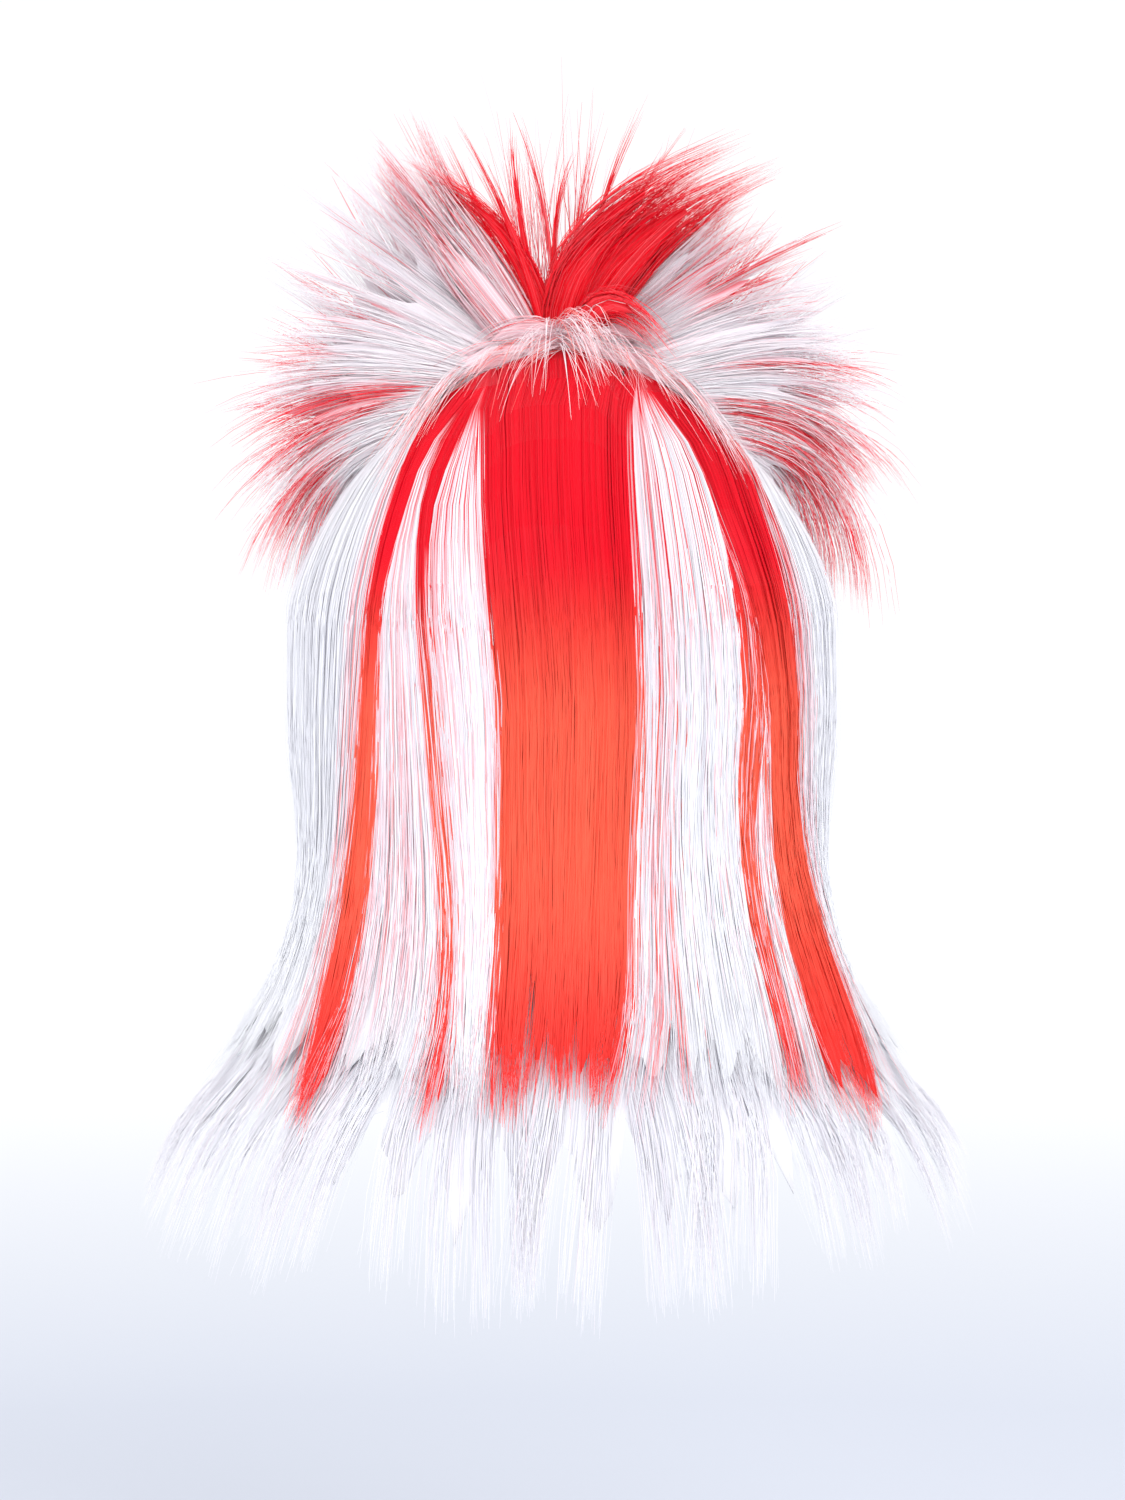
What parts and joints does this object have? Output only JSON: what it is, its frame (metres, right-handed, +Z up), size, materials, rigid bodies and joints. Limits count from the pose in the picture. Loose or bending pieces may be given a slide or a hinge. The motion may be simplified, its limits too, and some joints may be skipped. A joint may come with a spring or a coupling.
{
  "type": "mullet wig",
  "caption": "Party mullet wig: spiky white and red crown on a stretch cap, with long straight white back hair and red stripes.",
  "frame": {"origin": "top of the head that the cap sits on, at the cap's inner face", "axes": "+Z up, the face looks along -Y, the long hair hangs at +Y, +X is the left side seen from behind"},
  "size_m": [0.3345, 0.2359, 0.4879],
  "materials": {
    "white_hair": "smooth white synthetic hair with a soft sheen",
    "red_hair": "glossy red synthetic hair, orange-red where it catches the light",
    "mixed_hair": "white synthetic hair mixed with red strands",
    "cap_net": "thin white stretch net",
    "elastic_band": "woven white elastic"
  },
  "bodies": {
    "root": {"stretch_cap": "cap_net", "edge_band": "elastic_band", "red_tuft_right": "red_hair", "red_tuft_left": "red_hair", "parting_roll": "mixed_hair", "crown_spikes": "white_hair", "side_spikes_left": "white_hair", "side_spikes_right": "white_hair", "fringe_spikes": "white_hair", "left_side_panel": "white_hair", "left_outer_stripe": "red_hair", "left_white_panel": "white_hair", "left_inner_stripe": "red_hair", "left_centre_panel": "white_hair", "centre_stripe": "red_hair", "right_centre_panel": "white_hair", "right_inner_stripe": "red_hair", "right_gap_panel": "white_hair", "right_outer_stripe": "red_hair", "right_side_panel": "white_hair", "under_layer": "white_hair"}
  },
  "joints": []
}
